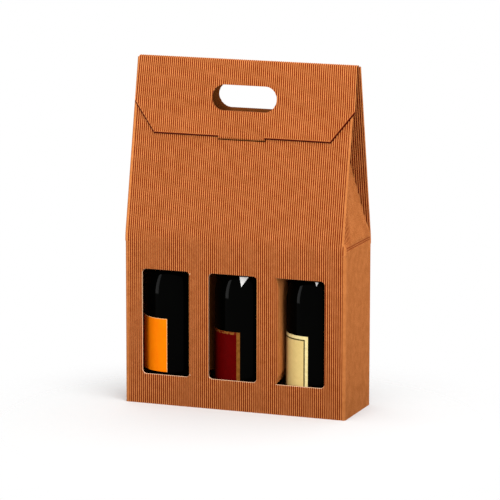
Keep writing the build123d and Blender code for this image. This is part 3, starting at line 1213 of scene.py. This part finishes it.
# %% Print on the labels
def label_map_group():
    """Distances from a label's right and top edges, the nearer of the two, and a fine mottle of 0 to 1."""
    group, _, end = new_group("label_map", (), ("Right", "Top", "Nearest", "Mottle"))
    parts = add_node(group, "ShaderNodeSeparateXYZ")
    group.links.new(add_node(group, "ShaderNodeUVMap", {"uv_map": "label_flat"}).outputs[0], parts.inputs[0])
    right, top = parts.outputs[0], parts.outputs[1]
    mottle = add_node(group, "ShaderNodeTexNoise", Scale=330, Detail=2)
    group.links.new(add_node(group, "ShaderNodeTexCoord").outputs["Object"], mottle.inputs["Vector"])
    spread = add_node(group, "ShaderNodeMapRange", From_Min=0.4, From_Max=0.6)
    group.links.new(mottle.outputs["Fac"], spread.inputs["Value"])
    group.links.new(right, end.inputs["Right"])
    group.links.new(top, end.inputs["Top"])
    group.links.new(maths(group, "MINIMUM", right, top), end.inputs["Nearest"])
    group.links.new(spread.outputs[0], end.inputs["Mottle"])
    return group


def edge_band_group():
    """1 where a distance lies between two others, 0 elsewhere."""
    group, start, end = new_group("edge_band", ("Distance", "From", "To"), ("Share",))
    beyond = maths(group, "GREATER_THAN", start.outputs["Distance"], start.outputs["From"])
    within = maths(group, "LESS_THAN", start.outputs["Distance"], start.outputs["To"])
    group.links.new(maths(group, "MULTIPLY", beyond, within), end.inputs["Share"])
    return group


def printed_label(name, deep, pale, bands):
    """Satin paper with mottled bands: an edge, where a band starts and ends from it, and two tones."""
    material, shader, colour = paper_finish(name, deep, pale, roughness=0.55, blotch_scale=120,
                                            fibre_scale=900, stretch=1, bump=0.06, sheen=0.01)
    tree = material.node_tree
    flat = add_node(tree, "ShaderNodeGroup", {"node_tree": label_map})
    for edge, outside, inside, first, second in bands:
        band = add_node(tree, "ShaderNodeGroup", {"node_tree": edge_band}, From=outside, To=inside)
        tree.links.new(flat.outputs[edge], band.inputs["Distance"])
        tone = blend_colours(tree, flat.outputs["Mottle"], first, second)
        colour = blend_colours(tree, band.outputs["Share"], colour, tone)
    tree.links.new(colour, shader.inputs["Base Color"])
    return material


label_map = label_map_group()
edge_band = edge_band_group()
past_edge = -1
border_width = 0.0037
paper_edge = ("Nearest", past_edge, 0.0005, (0.95, 0.45, 0.16, 1), (0.95, 0.55, 0.25, 1))
gold_top = ("Top", past_edge, 0.003, (0.12, 0.005, 0.0024, 1), (0.24, 0.085, 0.0145, 1))
gold_side = ("Right", past_edge, 0.0042, (0.18, 0.061, 0.0098, 1), (0.23, 0.085, 0.0145, 1))
pale_border = ("Nearest", past_edge, border_width, (0.8, 0.645, 0.29, 1), (0.88, 0.73, 0.35, 1))
dark_line = ("Nearest", border_width, 0.0054, (0.05, 0.037, 0.01, 1), (0.12, 0.09, 0.027, 1))
label_finishes = {
    "left": printed_label("orange_paper", (0.95, 0.18, 0.0008, 1), (0.99, 0.25, 0.0012, 1), [paper_edge]),
    "middle": printed_label("red_paper", (0.073, 0.0004, 0.0005, 1), (0.12, 0.0005, 0.0007, 1),
                            [gold_top, gold_side]),
    "right": printed_label("cream_paper", (0.7, 0.5, 0.177, 1), (0.83, 0.62, 0.243, 1),
                           [pale_border, dark_line]),
}
for side, finish in label_finishes.items():
    label = label_piece(side, finish)
    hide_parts("label_" + side)
    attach(label, "carton")
print("labels:", len(label_finishes))

# %% [markdown]
# ## Neck labels
# Two bottles have a small neck label whose white point hangs down the shoulder into view. Above a
# level line the paper carries a painted shadow of the window's top edge. It follows the glass, so each
# of its points is pushed out to the radius that the bottle has at that height, and the painted shadow
# is a step in the material at one level.

# %% Pointed neck labels
collar_top = 0.1605
collar_tips = {"middle": 0.1441, "right": 0.1506}
collar_offsets = {"middle": 0.0056, "right": 0.0077}
collar_left_widths = {"middle": 0.0054, "right": 0.0044}
collar_right_widths = {"middle": 0.0099, "right": 0.0036}
collar_rows = 16
collar_columns = 12
tip_width_share = 0.02


def glass_radius(height):
    """Radius of a bottle at a height above its foot, read from its profile."""
    for (r0, h0), (r1, h1) in zip(bottle_profile, bottle_profile[1:]):
        if h0 <= height <= h1 and h1 > h0:
            return r0 + (r1 - r0) * (height - h0) / (h1 - h0)
    return neck_radius


def neck_label_piece(side, material):
    """A curved paper triangle that points down on the front of a shoulder."""
    axis = Vector((bottle_sides[side] * bottle_pitch, 0, 0))
    points = []
    for lift in (paper_clearance, paper_clearance + paper):
        for r in range(collar_rows + 1):
            share = r / collar_rows
            height = collar_tips[side] + (collar_top - collar_tips[side]) * share
            reach = glass_radius(height - bottle_low.z) + lift
            width_share = max(share, tip_width_share)
            left_end = collar_offsets[side] - collar_left_widths[side] * width_share
            right_end = collar_offsets[side] + collar_right_widths[side] * width_share
            for c in range(collar_columns + 1):
                x = left_end + (right_end - left_end) * c / collar_columns
                points.append(axis + Vector((x, -math.sqrt(reach ** 2 - x ** 2), height)))
    width = collar_columns + 1
    back = width * (collar_rows + 1)
    faces = []
    for r in range(collar_rows):
        for c in range(collar_columns):
            a = r * width + c
            faces += [(a, a + width, a + width + 1, a + 1),
                      (a + back, a + 1 + back, a + width + 1 + back, a + width + back)]
        a, b = r * width, r * width + collar_columns
        faces += [(a, a + back, a + width + back, a + width), (b, b + width, b + width + back, b + back)]
    for r in (0, collar_rows):
        for c in range(collar_columns):
            a = r * width + c
            faces.append((a, a + 1, a + 1 + back, a + back))
    mesh = bpy.data.meshes.new("neck_paper_" + side)
    mesh.from_pydata(points, [], faces)
    return smooth_piece(mesh, material)


def pointed_finish():
    """White paper with a painted shadow above a level line."""
    # Painted shadow of the window's top edge above this level.
    neck_shadow_height = 0.155
    neck_shadow_tone = (0.004, 0.004, 0.006, 1)
    material, shader, colour = paper_finish("white_paper", (0.82, 0.8, 0.79, 1), (0.92, 0.91, 0.9, 1),
                                            roughness=0.6, blotch_scale=200, fibre_scale=1200, stretch=1,
                                            bump=0.05)
    tree = material.node_tree
    parts = add_node(tree, "ShaderNodeSeparateXYZ")
    tree.links.new(add_node(tree, "ShaderNodeTexCoord").outputs["Object"], parts.inputs[0])
    above = maths(tree, "GREATER_THAN", parts.outputs["Z"], neck_shadow_height)
    tree.links.new(blend_colours(tree, above, colour, neck_shadow_tone), shader.inputs["Base Color"])
    return material


white_paper = pointed_finish()
for side in ("middle", "right"):
    neck_label = neck_label_piece(side, white_paper)
    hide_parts("neck_label_" + side)
    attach(neck_label, "carton")
print("neck labels ready")
